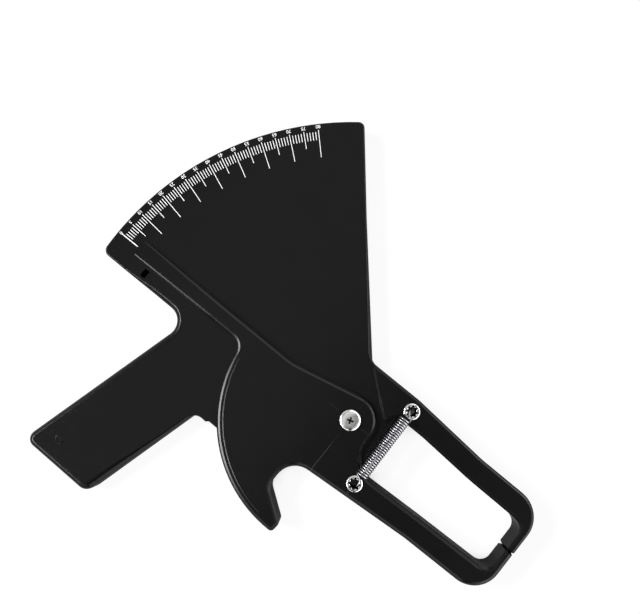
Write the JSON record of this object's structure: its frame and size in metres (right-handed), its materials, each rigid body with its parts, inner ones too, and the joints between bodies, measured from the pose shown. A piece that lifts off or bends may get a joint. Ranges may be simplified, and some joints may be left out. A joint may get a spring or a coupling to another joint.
{
  "type": "skinfold caliper",
  "caption": "Pistol-grip skinfold caliper: a ribbed body with a quarter-circle millimetre scale and a sprung trigger lever with pointer and moving jaw.",
  "frame": {"origin": "on the pivot axis, in the plane of the back, on the flat head of the barrel nut", "axes": "+X from the pivot towards the jaws, along the length; +Y towards the top end of the scale, square to the closing jaws' line; +Z out of the face that carries the scale"},
  "size_m": [0.2748, 0.2543, 0.0231],
  "materials": {
    "black_plastic": "satin moulded black",
    "bright_metal": "bright nickel plate",
    "spring_steel": "bright drawn wire",
    "washer_plastic": "natural nylon",
    "white_ink": "printed white"
  },
  "bodies": {
    "body": {"body_moulding": "black_plastic", "scale_ticks": "white_ink", "pivot_screw": "bright_metal", "pivot_barrel_nut": "bright_metal", "pivot_washer": "washer_plastic", "fixed_arm_rivet": "bright_metal"},
    "lever": {"lever_moulding": "black_plastic", "lever_arm_rivet": "bright_metal"},
    "spring": {"return_spring": "spring_steel"},
    "spring_end": {"spring_lever_hook": "spring_steel"}
  },
  "joints": [
    {"name": "lever_pivot", "type": "hinge", "parent": "body", "child": "lever", "pos_m": [0, 0, 0], "axis": [0, 0, 1], "range_deg": [-48, 0], "stiffness_Nm_per_rad": 0.25, "springref_deg": 68.75},
    {"name": "spring_swing", "type": "hinge", "parent": "body", "child": "spring", "pos_m": [0.0225, 0.0243, 0], "axis": [0, 0, 1], "range_deg": [-24, 0]},
    {"name": "spring_stretch", "type": "slide", "parent": "spring", "child": "spring_end", "axis": [0, -1, 0], "range_m": [0, 0.01441], "deforming": ["return_spring"]}
  ],
  "couplings": [
    {"joint": "spring_swing", "follows": "lever_pivot", "ratio": 0.5},
    {"joint": "spring_stretch", "follows": "lever_pivot", "m_per_rad": -0.0172}
  ]
}
